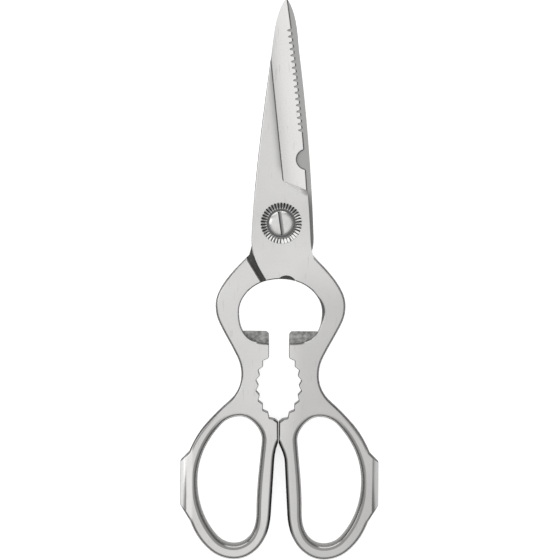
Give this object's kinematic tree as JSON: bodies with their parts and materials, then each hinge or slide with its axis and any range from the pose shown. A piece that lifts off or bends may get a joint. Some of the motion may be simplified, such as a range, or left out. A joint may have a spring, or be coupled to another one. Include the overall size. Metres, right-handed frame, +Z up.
{
  "type": "kitchen shears",
  "caption": "All-steel kitchen shears with a toothed blade, a bone notch, a cap opener bow, a nutcracker jaw and ring handles, joined by a slotted pivot screw.",
  "frame": {"origin": "on the pivot's axis, in the plane of the underside that lies on the table", "axes": "+X across the shears to the right as seen from the screw head, +Y from the handles to the blade tips, +Z up out of the table, along the pivot"},
  "size_m": [0.071, 0.2007, 0.0079],
  "materials": {
    "satin_steel": "satin ground, blade bevels finer ground",
    "screw_steel": "turned and lightly polished",
    "washer_steel": "pressed spring steel, bright"
  },
  "bodies": {
    "rear": {"rear_half": "satin_steel", "pivot_screw": "screw_steel"},
    "front": {"front_half": "satin_steel", "lock_washer": "washer_steel"}
  },
  "joints": [
    {"name": "pivot", "type": "hinge", "parent": "rear", "child": "front", "pos_m": [0, 0, 0], "axis": [0, 0, 1], "range_deg": [0, 95]}
  ]
}
